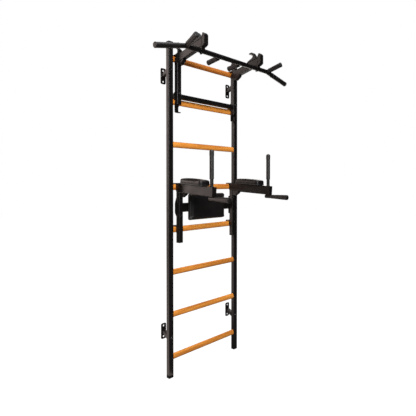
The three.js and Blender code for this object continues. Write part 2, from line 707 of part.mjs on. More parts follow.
function dipGrips(half, side) {
  const { x, y, tube, sleeve, from, to } = UPRIGHT_GRIP;
  const length = to - from;
  const [bore, end] = [tube + GAP, BAR_GRIP.end];
  const ridge = sleeve + RINGS.proud;
  const profile = [
    [0, length - end],
    [bore, length - end],
    [bore, 0],
    [sleeve - 1, 0],
    [sleeve, 3],
    [sleeve, length - RINGS.from - RINGS.slope],
  ];
  for (let ring = 0; ring < RINGS.count; ring++) {
    const start = length - RINGS.from + ring * RINGS.pitch;
    profile.push([ridge, start], [ridge, start + RINGS.wide], [sleeve, start + RINGS.wide + RINGS.slope]);
  }
  profile.push([sleeve - 1, length - 4], [sleeve - 5, length], [0, length]);
  piece(half, `upright_grip_${side}`, turned(profile, [x, y, from], [x, y, to]), MATERIALS.grip);

  const { from: root, to: tip, bare, thin, thick } = DIP_GRIP;
  const reach = vector(tip).distanceTo(vector(root)) - bare;
  const cone = [
    [0, reach - end],
    [STUB.radius + GAP, reach - end],
    [STUB.radius + GAP, 0],
    [thin, 0],
    [thin + 2, 24],
    [thick - 0.6, reach * 0.6],
    [thick, reach - 2],
    [thick - 2, reach],
    [0, reach],
  ];
  piece(half, `dip_grip_${side}`, turned(cone, along(root, tip, bare), tip), MATERIALS.grip);
}

// The rail behind the back pad, with a chamfered plate at each end that is bolted to the back of its post.
function backRail(parent) {
  const { bottom, top, deep, wall, corner, reach, plate } = BACK_RAIL;
  const front = POST.back + GAP;
  const section = { wide: deep, tall: top - bottom, wall, corner };
  const outline = boxTubeOutline(section, front + deep / 2, (top + bottom) / 2);
  const parts = [prism(outline, "x", -reach, reach)];
  const holes = [];
  for (const sign of Object.values(SIDES)) {
    const corners = [
      [236, 1052],
      [268, 1052],
      [284, bottom],
      [284, top + 2],
      [273, 1182],
      [236, 1182],
    ];
    parts.push(prism(polygon(corners.map(([x, z]) => [sign * x, z])), "y", front, front + plate));
    for (const z of Object.values(DIP_BOLTS)) {
      holes.push(boltHole(sign * DIP.postX, z, DIP_BOLT.hole, front, front + plate));
    }
  }
  piece(parent, "back_rail", cut(join(...parts), ...holes), MATERIALS.powderCoat);
}

function backPad(parent) {
  const { wide, tall, thick, bottom, corner } = BACK_PAD;
  const outline = roundedRect(wide, tall, corner, 0, bottom + tall / 2);
  piece(parent, "back_pad", prism(outline, "y", POST.back - thick, POST.back), MATERIALS.vinyl);
}

function dipHalf(half, side) {
  dipPost(half, side);
  dipArm(half, side);
  dipHook(half, side);
  armrestPad(half, side);
  dipGrips(half, side);
  for (const [level, z] of Object.entries(DIP_BOLTS)) {
    const shape = bolt([DIP.postX, POST_FRONT, z], DIP_BOLT, POST.deep + BACK_RAIL.plate);
    piece(half, `dip_bolt_${level}_${side}`, shape, MATERIALS.bolt);
  }
}

// ---- assembly ----------------------------------------------------------------------------------------
const model = new THREE.Group();
model.position.y = (FRONT_REACH - WALL_FACE) / 2; // puts the middle of the depth over the origin

const ladder = new THREE.Group();
const pullupAttachment = new THREE.Group();
const dipStation = new THREE.Group();
model.add(ladder, pullupAttachment, dipStation);

rungs(ladder);
mainBar(pullupAttachment);
pullupCrossbar(pullupAttachment);
backRail(dipStation);
backPad(dipStation);

for (const [side, sign] of Object.entries(SIDES)) {
  const builders = [
    [ladder, ladderHalf],
    [pullupAttachment, pullupHalf],
    [dipStation, dipHalf],
  ];
  for (const [assembly, build] of builders) {
    const half = new THREE.Group();
    half.scale.x = sign;
    assembly.add(half);
    build(half, side);
  }
}

const root = new THREE.Group();
root.add(model);
export default root;
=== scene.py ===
# Looks for the wall bars with a hook-on pull-up attachment and a hook-on dip station.
# Metres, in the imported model's frame: +X along the wall, +Y towards the wall, +Z up.
# Paired pieces are drawn once, on the right, and mirrored for the left.
import json
import math

import bmesh
import bpy
from mathutils import Matrix, Vector


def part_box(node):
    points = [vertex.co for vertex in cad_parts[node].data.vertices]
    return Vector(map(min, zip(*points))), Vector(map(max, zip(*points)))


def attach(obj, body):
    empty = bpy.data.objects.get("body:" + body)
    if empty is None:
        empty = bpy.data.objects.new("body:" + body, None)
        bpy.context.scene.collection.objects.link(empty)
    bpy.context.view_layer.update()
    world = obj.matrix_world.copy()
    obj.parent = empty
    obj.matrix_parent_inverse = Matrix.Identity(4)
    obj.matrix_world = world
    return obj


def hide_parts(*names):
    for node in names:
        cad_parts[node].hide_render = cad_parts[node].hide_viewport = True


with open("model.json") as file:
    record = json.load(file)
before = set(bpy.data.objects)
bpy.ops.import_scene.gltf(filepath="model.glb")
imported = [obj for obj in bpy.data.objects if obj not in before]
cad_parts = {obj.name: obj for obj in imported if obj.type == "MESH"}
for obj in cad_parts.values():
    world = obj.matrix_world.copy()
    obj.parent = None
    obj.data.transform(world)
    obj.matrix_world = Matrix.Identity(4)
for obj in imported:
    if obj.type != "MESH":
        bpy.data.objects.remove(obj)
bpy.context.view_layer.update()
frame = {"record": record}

SIDES = {"left": -1, "right": 1}

# ---- what the frame says -----------------------------------------------------------------------------------
UPRIGHT_LOW, UPRIGHT_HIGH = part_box("upright_right")
POST_LOW, POST_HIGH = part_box("pullup_post_right")
FRONT = UPRIGHT_LOW.y  # the plane of the uprights' front faces
POST_BACK = FRONT - 0.0005

# ---- sizes that the frame doesn't state, as in the CAD source ----------------------------------------------
TUBE_WALL = 0.002
UPRIGHT_CORNER = 0.004
POST_CORNER = 0.004
ARM_DROOP, ARM_SPLAY = math.radians(3.6), math.radians(3.2)
ARM_ORIGIN = Vector((0.259, FRONT - 0.0036, 1.250))
ARM_WIDE, ARM_TALL, ARM_LONG, ARM_CORNER = 0.034, 0.060, 0.356, 0.005
BAR_RADIUS, STUB_RADIUS, GRIP_RADIUS = 0.015, 0.012, 0.0173
BAR_AXIS = Vector((0, FRONT - 0.236, 2.093))
BAR_BEND, WING_TIP = 0.392, Vector((0.624, FRONT - 0.236, 2.042))
BEND_RADIUS = 0.120
WELD_RADIUS, WELD_STEP, WELD_RIPPLE = 0.0019, 0.0012, 3


# ---- meshes ------------------------------------------------------------------------------------------------
X, Y, Z = Vector((1, 0, 0)), Vector((0, 1, 0)), Vector((0, 0, 1))


def basis(u, v, w, origin=(0, 0, 0)):
    """The matrix that carries local x, y and z to u, v and w at an origin."""
    matrix = Matrix((u, v, w)).transposed().to_4x4()
    matrix.translation = Vector(origin)
    return matrix


# Outlines are drawn in (y, z) for a shape along x, in (x, z) along y and in (x, y) along z.
TURN = {"x": basis(Y, Z, X), "y": basis(X, Z, Y), "z": Matrix.Identity(4)}


def object_from(name, bm):
    bmesh.ops.recalc_face_normals(bm, faces=bm.faces)
    mesh = bpy.data.meshes.new(name)
    bm.to_mesh(mesh)
    bm.free()
    obj = bpy.data.objects.new(name, mesh)
    bpy.context.scene.collection.objects.link(obj)
    return obj


def arc(centre, radius, start, end, steps):
    """Points on an arc, with its angles in degrees."""
    points = []
    for step in range(steps + 1):
        angle = math.radians(start + (end - start) * step / steps)
        points.append((centre[0] + radius * math.cos(angle), centre[1] + radius * math.sin(angle)))
    return points


def rounded_rect(wide, tall, radius, centre=(0, 0), steps=6):
    w, h = wide / 2 - radius, tall / 2 - radius
    points = []
    for turn, (sx, sy) in enumerate(((1, 1), (-1, 1), (-1, -1), (1, -1))):
        corner = (centre[0] + sx * w, centre[1] + sy * h)
        points += arc(corner, radius, turn * 90, turn * 90 + 90, steps)
    return points


def oval(wide, tall, centre=(0, 0), steps=64):
    angles = [2 * math.pi * step / steps for step in range(steps)]
    return [(centre[0] + wide / 2 * math.cos(a), centre[1] + tall / 2 * math.sin(a)) for a in angles]


def skin(name, rings, loop=False, place=None):
    """A surface through rings of points: capped at both ends, or closed on itself with loop."""
    bm = bmesh.new()
    rows = [[bm.verts.new(place @ Vector(p) if place else Vector(p)) for p in ring] for ring in rings]
    count = len(rows[0])
    pairs = list(zip(rows, rows[1:] + rows[:1])) if loop else list(zip(rows, rows[1:]))
    for below, above in pairs:
        for i in range(count):
            j = (i + 1) % count
            bm.faces.new((below[i], below[j], above[j], above[i]))
    if not loop:
        bm.faces.new(rows[0][::-1])
        bm.faces.new(rows[-1])
    return object_from(name, bm)


def hollow(name, section, axis, start, end, wall=TUBE_WALL, place=None, edge=0.0005):
    """An open-ended tube. section(inset) is its outline, moved in by inset."""
    stations = [(0, start + edge), (0, end - edge), (edge, end), (wall - edge, end)]
    stations += [(wall, end - edge), (wall, start + edge), (wall - edge, start), (edge, start)]
    turn = (place or Matrix.Identity(4)) @ TURN[axis]
    rings = [[(u, v, along) for u, v in section(inset)] for inset, along in stations]
    return skin(name, rings, loop=True, place=turn)


def box_section(wide, tall, corner, centre):
    def section(inset):
        return rounded_rect(wide - 2 * inset, tall - 2 * inset, corner - min(inset, corner * 0.7), centre)

    return section


def solid_bar(name, section, axis, start, end, edge=0.0008, place=None):
    """A solid bar whose ends are rounded over. section(inset) is its outline, moved in by inset."""
    stations = [(edge, start), (edge * 0.3, start + edge * 0.3), (0, start + edge)]
    stations += [(0, end - edge), (edge * 0.3, end - edge * 0.3), (edge, end)]
    turn = (place or Matrix.Identity(4)) @ TURN[axis]
    return skin(name, [[(u, v, along) for u, v in section(inset)] for inset, along in stations], place=turn)


def prism(name, outline, axis, start, end, edge=0.0008, steps=3, place=None):
    """An outline given a thickness, with every sharp edge rounded over."""
    bm = bmesh.new()
    turn = (place or Matrix.Identity(4)) @ TURN[axis]
    bottom = [bm.verts.new(turn @ Vector((u, v, start))) for u, v in outline]
    top = [bm.verts.new(turn @ Vector((u, v, end))) for u, v in outline]
    bm.faces.new(bottom[::-1])
    bm.faces.new(top)
    for i in range(len(outline)):
        j = (i + 1) % len(outline)
        bm.faces.new((bottom[i], bottom[j], top[j], top[i]))
    bmesh.ops.recalc_face_normals(bm, faces=bm.faces)
    sharp = [e for e in bm.edges if e.calc_face_angle(0) > math.radians(24)]
    rounding = {"offset": edge, "segments": steps, "profile": 0.5, "affect": "EDGES", "clamp_overlap": True}
    bmesh.ops.bevel(bm, geom=sharp, **rounding)
    return object_from(name, bm)


def along_to(start, end):
    """The matrix that carries local +Z, from the origin, to run from one point towards another."""
    direction = (Vector(end) - Vector(start)).normalized()
    return Matrix.Translation(Vector(start)) @ Z.rotation_difference(direction).to_matrix().to_4x4()


def turned(name, profile, start, end, steps=48):
    """A turned solid: profile points are (radius, distance from the start), from axis to axis."""
    rings = []
    for radius, distance in profile:
        circle = oval(2 * max(radius, 1e-5), 2 * max(radius, 1e-5), steps=steps)
        rings.append([(u, v, distance) for u, v in circle])
    return skin(name, rings, place=along_to(start, end))


def swept(name, path, radius, steps=32, closed=False):
    """A round bar along a path. radius is a number, or a function of the point's place in the path."""
    radius_at = radius if callable(radius) else lambda _: radius
    rings = []
    count = len(path)
    up = None
    for i, point in enumerate(path):
        before = path[i - 1] if (i or closed) else path[i]
        after = path[(i + 1) % count] if (i < count - 1 or closed) else path[i]
        tangent = (after - before).normalized()
        if up is None:
            up = tangent.orthogonal().normalized()
        up = (up - tangent * up.dot(tangent)).normalized()
        side = tangent.cross(up)
        circle = oval(2 * radius_at(i), 2 * radius_at(i), steps=steps)
        rings.append([point + up * u + side * v for u, v in circle])
    return skin(name, rings, loop=closed)


def dense(points, spacing, closed=True):
    """The outline with points added along its straight stretches."""
    out = []
    points = [Vector(p) for p in points]
    for start, end in zip(points, points[1:] + points[:1] if closed else points[1:]):
        steps = max(1, round((end - start).length / spacing))
        out += [start.lerp(end, step / steps) for step in range(steps)]
    return out if closed else out + [points[-1]]


def weld(base, path, closed=True):
    """Adds a rippled weld bead to a piece."""
    def ripple(i):
        return WELD_RADIUS * (0.82 + 0.18 * abs(math.sin(math.pi * i / WELD_RIPPLE)))

    return union(base, swept("bead", dense(path, WELD_STEP, closed), ripple, steps=8, closed=closed))


def boolean(base, tool, operation):
    modifier = base.modifiers.new("boolean", "BOOLEAN")
    modifier.operation = operation
    modifier.solver = "EXACT"
    modifier.object = tool
    evaluated = base.evaluated_get(bpy.context.evaluated_depsgraph_get())
    made = bpy.data.meshes.new_from_object(evaluated)
    base.modifiers.remove(modifier)
    base.data = made
    bpy.data.objects.remove(tool)
    return base


def union(base, *others):
    for other in others:
        boolean(base, other, "UNION")
    return base


def cut(base, *tools):
    for tool in tools:
        boolean(base, tool, "DIFFERENCE")
    return base


def mirrored(obj, name):
    """A copy on the other side of the middle plane."""
    bm = bmesh.new()
    bm.from_mesh(obj.data)
    bmesh.ops.transform(bm, matrix=Matrix.Scale(-1, 4, X), verts=bm.verts)
    bmesh.ops.reverse_faces(bm, faces=bm.faces)
    return object_from(name, bm)


def shade(obj, sharp_above=38):
    obj.data.shade_smooth()
    obj.data.set_sharp_from_angle(angle=math.radians(sharp_above))
    modifier = obj.modifiers.new("even_shading", "WEIGHTED_NORMAL")
    modifier.keep_sharp = True


# ---- materials ---------------------------------------------------------------------------------------------
class Nodes:
    """A material's node tree, with short calls for the nodes that the materials here use."""

    def __init__(self, name):
        self.material = bpy.data.materials.new(name)
        self.material.use_nodes = True
        self.tree = self.material.node_tree
        self.shader = self.tree.nodes["Principled BSDF"]
        self.place = self.add("ShaderNodeTexCoord").outputs["Object"]

    def add(self, kind, **settings):
        node = self.tree.nodes.new(kind)
        for key, value in settings.items():
            setattr(node, key, value)
        return node

    def feed(self, source, target):
        if isinstance(source, bpy.types.NodeSocket):
            self.tree.links.new(source, target)
        else:
            target.default_value = source

    def stretch(self, scale):
        node = self.add("ShaderNodeMapping")
        self.feed(self.place, node.inputs["Vector"])
        node.inputs["Scale"].default_value = scale
        return node.outputs["Vector"]

    def noise(self, scale, detail=2.0, place=None, roughness=0.5):
        node = self.add("ShaderNodeTexNoise")
        self.feed(place or self.place, node.inputs["Vector"])
        node.inputs["Scale"].default_value = scale
        node.inputs["Detail"].default_value = detail
        node.inputs["Roughness"].default_value = roughness
        return node.outputs["Fac"]

    def height(self):
        node = self.add("ShaderNodeSeparateXYZ")
        self.feed(self.place, node.inputs["Vector"])
        return node.outputs["Z"]

    def cells(self, scale, place=None):
        node = self.add("ShaderNodeTexVoronoi")
        self.feed(place or self.place, node.inputs["Vector"])
        node.inputs["Scale"].default_value = scale
        return node.outputs["Distance"]

    def span(self, value, low, high, to_low, to_high):
        node = self.add("ShaderNodeMapRange")
        self.feed(value, node.inputs["Value"])
        for key, number in (("From Min", low), ("From Max", high), ("To Min", to_low), ("To Max", to_high)):
            node.inputs[key].default_value = number
        return node.outputs["Result"]

    def mix(self, share, first, second, blend="MIX"):
        node = self.add("ShaderNodeMix", data_type="RGBA", blend_type=blend)
        self.feed(share, node.inputs["Factor"])
        self.feed(first, node.inputs[6])
        self.feed(second, node.inputs[7])
        return node.outputs[2]

    def plus(self, first, second, operation="ADD"):
        node = self.add("ShaderNodeMath", operation=operation)
        self.feed(first, node.inputs[0])
        self.feed(second, node.inputs[1])
        return node.outputs[0]

    def bump(self, height, depth, strength=1.0):
        node = self.add("ShaderNodeBump")
        self.feed(height, node.inputs["Height"])
        node.inputs["Strength"].default_value = strength
        node.inputs["Distance"].default_value = depth
        self.feed(node.outputs["Normal"], self.shader.inputs["Normal"])

    def set(self, **values):
        for key, value in values.items():
            self.feed(value, self.shader.inputs[key.replace("_", " ")])


def powder_coat():
    nodes = Nodes("powder_coat")
    peel = nodes.noise(420, detail=3)
    cloud = nodes.noise(14, detail=4)
    dark, pale = (0.0022, 0.0014, 0.0012, 1), (0.0034, 0.0023, 0.0020, 1)
    colour = nodes.mix(nodes.span(cloud, 0.35, 0.65, 0, 1), dark, pale)
    nodes.set(Base_Color=colour, Roughness=nodes.span(cloud, 0.3, 0.7, 0.38, 0.46), Specular_IOR_Level=0.36)
    nodes.bump(peel, 0.00006, 0.3)
    return nodes.material


def beech():
    nodes = Nodes("beech")
    grain = nodes.noise(1.0, detail=5, place=nodes.stretch((9, 260, 210)), roughness=0.62)
    bands = nodes.noise(1.0, detail=2, place=nodes.stretch((2.2, 60, 46)))
    flecks = nodes.noise(1.0, detail=1, place=nodes.stretch((150, 1500, 1300)))
    tone = nodes.noise(3.1, detail=1)
    pale, warm, deep = (0.86, 0.355, 0.060, 1), (0.66, 0.222, 0.029, 1), (0.34, 0.090, 0.010, 1)
    colour = nodes.mix(nodes.span(grain, 0.36, 0.62, 0, 1), pale, warm)
    colour = nodes.mix(nodes.span(bands, 0.48, 0.68, 0, 0.75), colour, deep)
    colour = nodes.mix(nodes.span(flecks, 0.60, 0.72, 0, 0.5), colour, deep)
    colour = nodes.mix(nodes.span(tone, 0.4, 0.65, 0, 0.35), colour, warm)
    # The top rung is darker than the rest: it is the only one above these heights.
    colour = nodes.mix(nodes.span(nodes.height(), 1.95, 2.0, 0, 0.66), colour, deep)
    nodes.set(Base_Color=colour, Roughness=nodes.span(grain, 0.3, 0.7, 0.46, 0.6), Specular_IOR_Level=0.3)
    nodes.shader.inputs["Coat Weight"].default_value = 0.06
    nodes.shader.inputs["Coat Roughness"].default_value = 0.32
    nodes.bump(nodes.plus(grain, flecks), 0.00012, 0.5)
    return nodes.material


def grip_rubber():
    nodes = Nodes("grip_rubber")
    fine = nodes.noise(900, detail=2)
    cloud = nodes.noise(22, detail=3)
    dark, pale = (0.0035, 0.0025, 0.0023, 1), (0.0065, 0.0048, 0.0044, 1)
    colour = nodes.mix(nodes.span(cloud, 0.35, 0.65, 0, 1), dark, pale)
    nodes.set(Base_Color=colour, Roughness=nodes.span(cloud, 0.3, 0.7, 0.43, 0.53), Specular_IOR_Level=0.45)
    nodes.bump(fine, 0.0003, 0.4)
    return nodes.material


def vinyl():
    nodes = Nodes("vinyl")
    grain = nodes.cells(520)
    fine = nodes.noise(1400, detail=2)
    creases = nodes.noise(26, detail=4)
    dark, pale = (0.0028, 0.0019, 0.0018, 1), (0.0052, 0.0037, 0.0034, 1)
    colour = nodes.mix(nodes.span(creases, 0.35, 0.65, 0, 1), dark, pale)
    nodes.set(Base_Color=colour, Roughness=nodes.span(creases, 0.3, 0.7, 0.42, 0.50), Specular_IOR_Level=0.45)
    nodes.bump(nodes.plus(nodes.plus(grain, fine), nodes.plus(creases, 2.0, "MULTIPLY")), 0.0002, 0.35)
    return nodes.material


def moulded_plastic():
    nodes = Nodes("moulded_plastic")
    spark = nodes.noise(1600, detail=2)
    cloud = nodes.noise(40, detail=2)
    nodes.set(
        Base_Color=nodes.mix(cloud, (0.004, 0.004, 0.0042, 1), (0.009, 0.009, 0.0092, 1)),
        Roughness=nodes.span(cloud, 0.3, 0.7, 0.45, 0.6),
    )
    nodes.bump(spark, 0.0001, 0.5)
    return nodes.material


def bolt_steel():
    nodes = Nodes("bolt_steel")
    brushed = nodes.noise(700, detail=3)
    cloud = nodes.noise(90, detail=3)
    colour = nodes.mix(cloud, (0.05, 0.05, 0.053, 1), (0.10, 0.098, 0.10, 1))
    nodes.set(Base_Color=colour, Roughness=nodes.span(brushed, 0.3, 0.7, 0.28, 0.42))
    nodes.shader.inputs["Metallic"].default_value = 1.0
    nodes.bump(brushed, 0.00005, 0.4)
    return nodes.material


# Each slot of the record: its Blender material and the word that its pieces' names start with.
FINISHES = {
    "powder_black": (powder_coat(), "steel"),
    "beech": (beech(), "beech"),
    "grip_rubber": (grip_rubber(), "rubber"),
    "vinyl_black": (vinyl(), "vinyl"),
    "plastic_black": (moulded_plastic(), "plastic"),
    "bolt_black": (bolt_steel(), "zinc"),
}
SLOT_OF = {row["node"]: row["material_slot"] for row in frame["record"]["subparts"]}
BODY_OF = {node: body for body, nodes in frame["record"]["behaviour"]["bodies"].items() for node in nodes}


def finish_piece(obj, node, slot=None):
    """Gives a piece its material, its shading and the body of a node. A slot, when given, is used instead of
    the node's own.
    """
    slot = slot or SLOT_OF[node]
    obj.data.materials.clear()
    obj.data.materials.append(FINISHES[slot][0])
    shade(obj)
    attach(obj, BODY_OF[node])


def stand_for(obj, node):
    obj.name = f"{FINISHES[SLOT_OF[node]][1]}_{node}"
    finish_piece(obj, node)
    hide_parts(node)


def stand_for_pair(obj, stem):
    """One piece drawn on the right stands for both nodes of a pair."""
    copy = mirrored(obj, "mirrored")
    stand_for(obj, f"{stem}_right")
    stand_for(copy, f"{stem}_left")


# ---- fasteners ---------------------------------------------------------------------------------------------
def dome_bolt(node):
    """A dome-head bolt along +Y with a hexagon socket, in the space that its node holds."""
    low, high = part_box(node)
    radius = (high.x - low.x) / 2
    start = Vector(((low.x + high.x) / 2, low.y, (low.z + high.z) / 2))
    shank = radius * 0.5
    head = radius * 0.6
    profile = [(0, 0), (radius * 0.5, 0.0001)]
    profile += [(radius * 0.72, head * 0.13), (radius * 0.88, head * 0.38), (radius, head * 0.78)]
    profile += [(radius, head), (shank, head), (shank, high.y - low.y - 0.001), (shank * 0.8, high.y - low.y)]
    profile += [(0, high.y - low.y)]
    body = turned("bolt", profile, start, start + Y, steps=40)
    flats = oval(radius, radius, (start.x, start.z), steps=6)
    socket = prism("socket", flats, "y", low.y - 0.001, low.y + head * 0.6, edge=0.0001, steps=1)
    return cut(body, socket)


def hex_bolt(node):
    """A hexagon-head bolt with a washer, coming up from below."""
    low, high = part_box(node)
    centre = Vector(((low.x + high.x) / 2, (low.y + high.y) / 2, low.z))
    radius = (high.x - low.x) / 2
    head, washer = 0.0047, 0.0060
    profile = [(0, 0), (radius * 0.80, 0), (radius * 0.97, head * 0.2), (radius * 0.97, head), (0, head)]
    cone = turned("bolt", profile, centre, centre + Z, steps=48)
    flats = oval(2 * radius * 0.97, 2 * radius * 0.97, (centre.x, centre.y), steps=6)
    hexagon = prism("flats", flats, "z", centre.z - 0.001, centre.z + head + 0.001, edge=0.0002)
    boolean(cone, hexagon, "INTERSECT")
    ring = [(0, head - 0.0002), (radius, head - 0.0002), (radius, washer), (0.004, washer)]
    ring += [(0.004, high.z - low.z - 0.001), (0.0032, high.z - low.z), (0, high.z - low.z)]
    return union(cone, turned("shank", ring, centre, centre + Z))


DOME_BOLTS = ("bracket_bolt_upper", "bracket_bolt_lower", "pullup_bolt", "dip_bolt_upper", "dip_bolt_lower")


def make_bolts():
    for stem in DOME_BOLTS:
        stand_for_pair(dome_bolt(f"{stem}_right"), stem)
    stand_for_pair(hex_bolt("bar_bolt_right"), "bar_bolt")


# ---- ladder ------------------------------------------------------------------------------------------------
RUNGS = [f"rung_{number}" for number in range(1, 9)]


def make_rungs():
    for node in RUNGS:
        low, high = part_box(node)
        centre = ((low.y + high.y) / 2, (low.z + high.z) / 2)
        deep, tall = high.y - low.y, high.z - low.z

        def section(inset, centre=centre, deep=deep, tall=tall):
            return oval(deep - 2 * inset, tall - 2 * inset, centre)

        stand_for(solid_bar("rung", section, "x", low.x, high.x, edge=0.002), node)


def make_uprights():
    low, high = UPRIGHT_LOW, UPRIGHT_HIGH
    centre = ((low.x + high.x) / 2, (low.y + high.y) / 2)
    section = box_section(high.x - low.x, high.y - low.y, UPRIGHT_CORNER, centre)
    tube = hollow("upright", section, "z", low.z, high.z)
    for node in RUNGS:
        rung_low, rung_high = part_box(node)
        middle = ((rung_low.y + rung_high.y) / 2, (rung_low.z + rung_high.z) / 2)
        size = (rung_high.y - rung_low.y + 0.0006, rung_high.z - rung_low.z + 0.0006)
        hole = prism("hole", oval(*size, middle), "x", low.x - 0.01, low.x + 0.005, edge=0.0001, steps=1)
        cut(tube, hole)
    stand_for_pair(tube, "upright")


def end_plug(node, stem, top):
    """A plug with a rounded flange: the cap at the top of an upright, or its foot."""
    low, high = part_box(node)
    centre = ((low.x + high.x) / 2, (low.y + high.y) / 2)
    wide, deep = high.x - low.x, high.y - low.y
    flange = abs(high.z - UPRIGHT_HIGH.z if top else UPRIGHT_LOW.z - low.z) - 0.0003
    face, inward = (high.z, -1) if top else (low.z, 1)
    stem_end = (low.z if top else high.z) - face
    round_over = min(flange * 0.45, 0.0018)
    stem_inset = TUBE_WALL + 0.0003
    stations = [(round_over, 0), (round_over * 0.3, round_over * 0.3), (0, round_over), (0, flange - 0.0003)]
    stations += [(0.0003, flange), (stem_inset, flange), (stem_inset, abs(stem_end) - 0.001)]
    stations += [(stem_inset + 0.001, abs(stem_end))]
    rings = []
    for inset, distance in stations:
        corner = UPRIGHT_CORNER - min(inset, UPRIGHT_CORNER * 0.7)
        outline = rounded_rect(wide - 2 * inset, deep - 2 * inset, corner, centre)
        rings.append([(u, v, face + inward * distance) for u, v in outline])
    stand_for_pair(skin("plug", rings), stem)


def make_wall_bracket(level):
    low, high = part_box(f"wall_bracket_{level}_right")
    bolt_low, bolt_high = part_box(f"bracket_bolt_{level}_right")
    x = (low.x + high.x) / 2
    wide = high.x - low.x
    bolt_z = (bolt_low.z + bolt_high.z) / 2
    plate_z = low.z + 0.0525 if level == "upper" else high.z - 0.0525
    plate_tall, corner, hole_offset, hole_radius = 0.105, 0.011, 0.036, 0.006
    outline = rounded_rect(wide, plate_tall, corner, (x, plate_z), steps=10)
    plate = prism("plate", outline, "y", high.y - 0.004, high.y, edge=0.0009)
    for sign in (-1, 1):
        centre = Vector((x, high.y + 0.001, plate_z + sign * hole_offset))
        hole = [(0, 0), (hole_radius, 0), (hole_radius, 0.0042), (hole_radius + 0.0008, 0.0052)]
        hole += [(hole_radius + 0.0008, 0.008), (0, 0.008)]
        cut(plate, turned("hole", hole, centre, centre - Y, steps=40))
    strut = [
        (low.y, bolt_z - 0.015),
        (low.y, bolt_z + 0.015),
        (low.y + 0.006, bolt_z + 0.015),
        (high.y - 0.003, plate_z + 0.011),
        (high.y - 0.003, plate_z - 0.011),
        (low.y + 0.006, bolt_z - 0.015),
    ]
    arm = prism("strut", strut, "x", x - 0.013, x + 0.013, edge=0.0018, steps=4)
    bead = [(u, high.y - 0.0045, v) for u, v in rounded_rect(0.0262, 0.0225, 0.003, (x, plate_z))]
    stand_for_pair(weld(union(plate, arm), bead), f"wall_bracket_{level}")


def make_ladder():
    make_uprights()
    make_rungs()
    end_plug("top_cap_right", "top_cap", top=True)
    end_plug("foot_right", "foot", top=False)
    for level in ("upper", "lower"):
        make_wall_bracket(level)


# ---- grips -------------------------------------------------------------------------------------------------
def sleeve(stem, root, tip, bare, bore, radius):
    """A moulded sleeve with a rolled mouth, a groove behind its closed end and a rounded tip."""
    root, tip = Vector(root), Vector(tip)
    length = (tip - root).length - bare
    start = root + (tip - root).normalized() * bare
    groove = length - 0.010
    profile = [(0, length - 0.005), (bore, length - 0.005), (bore, 0.0015), (bore + 0.0006, 0.0004)]
    profile += [(radius - 0.0015, 0), (radius, 0.0012), (radius, 0.0045), (radius - 0.0009, 0.0060)]
    profile += [(radius - 0.0009, groove - 0.0016), (radius - 0.0020, groove - 0.0008)]
    profile += [(radius - 0.0020, groove + 0.0006), (radius - 0.0001, groove + 0.0018)]
    round_over = 0.0045
    for step in range(6):
        angle = math.radians(18 * step)
        inward, back = round_over * (1 - math.cos(angle)), round_over * (1 - math.sin(angle))
        profile.append((radius - inward, length - back))
    profile += [(radius * 0.4, length), (0, length)]
    stand_for_pair(turned(stem, profile, start, start + (tip - root), steps=48), stem)


# ---- pull-up attachment ------------------------------------------------------------------------------------
def local_to(front_y, outline):
    """An outline in (y, z) whose y is measured from the uprights' front faces, in millimetres."""
    return [(front_y + y / 1000, z / 1000) for y, z in outline]


def make_pullup_post():
    low, high = POST_LOW, POST_HIGH
    x = (low.x + high.x) / 2
    wide, deep = high.x - low.x, 0.032
    foot = low.z + 0.053
    section = box_section(wide, deep, POST_CORNER, (x, POST_BACK - deep / 2))
    tube = hollow("post", section, "z", foot, high.z)
    thick, fillet, bend, lip = 0.005, 0.020, 0.013, 0.016
    back, tab = high.y, POST_BACK - 0.0001
    front = back - thick
    curl = (back - bend, foot - 0.040)
    strap = [(tab, foot + 0.020), (tab - thick, foot + 0.020), (tab - thick, foot + 0.001)]
    strap += [(front - fillet, foot + 0.001)] + arc((front - fillet, foot - fillet), fillet, 90, 0, 10)
    strap += arc(curl, bend - thick, 0, -90, 10)
    strap += [(curl[0] - lip, low.z + thick), (curl[0] - lip, low.z)]
    strap += arc(curl, bend, -90, 0, 12) + [(back, foot - 0.0003), (tab, foot - 0.0003)]
    hook = prism("strap", strap, "x", low.x + 0.002, high.x - 0.002, edge=0.0009)
    rim = rounded_rect(wide, deep, POST_CORNER, (x, POST_BACK - deep / 2))
    bead = [(u, v, high.z - 0.0005) for u, v in rim]
    stand_for_pair(weld(union(tube, hook), bead), "pullup_post")


# The pull-up arm rises towards its front. Its heights and distances from the uprights are in millimetres.
ARM_REAR, ARM_SLOPE, PULLUP_ARM_TALL = 2064, 0.218, 50
ARM_FRONT, POST_FACE = -258, -32.5
SADDLE_BOTTOM, SADDLE_REAR = 2091, -212
SADDLE_HALF, GUSSET_HALF = 0.015, 0.014


def arm_under(y):
    """The height of the pull-up arm's lower face at y."""
    return ARM_REAR + ARM_SLOPE * (POST_FACE - y)


def arm_over(y):
    """The height of the pull-up arm's upper face at y."""
    return arm_under(y) + PULLUP_ARM_TALL


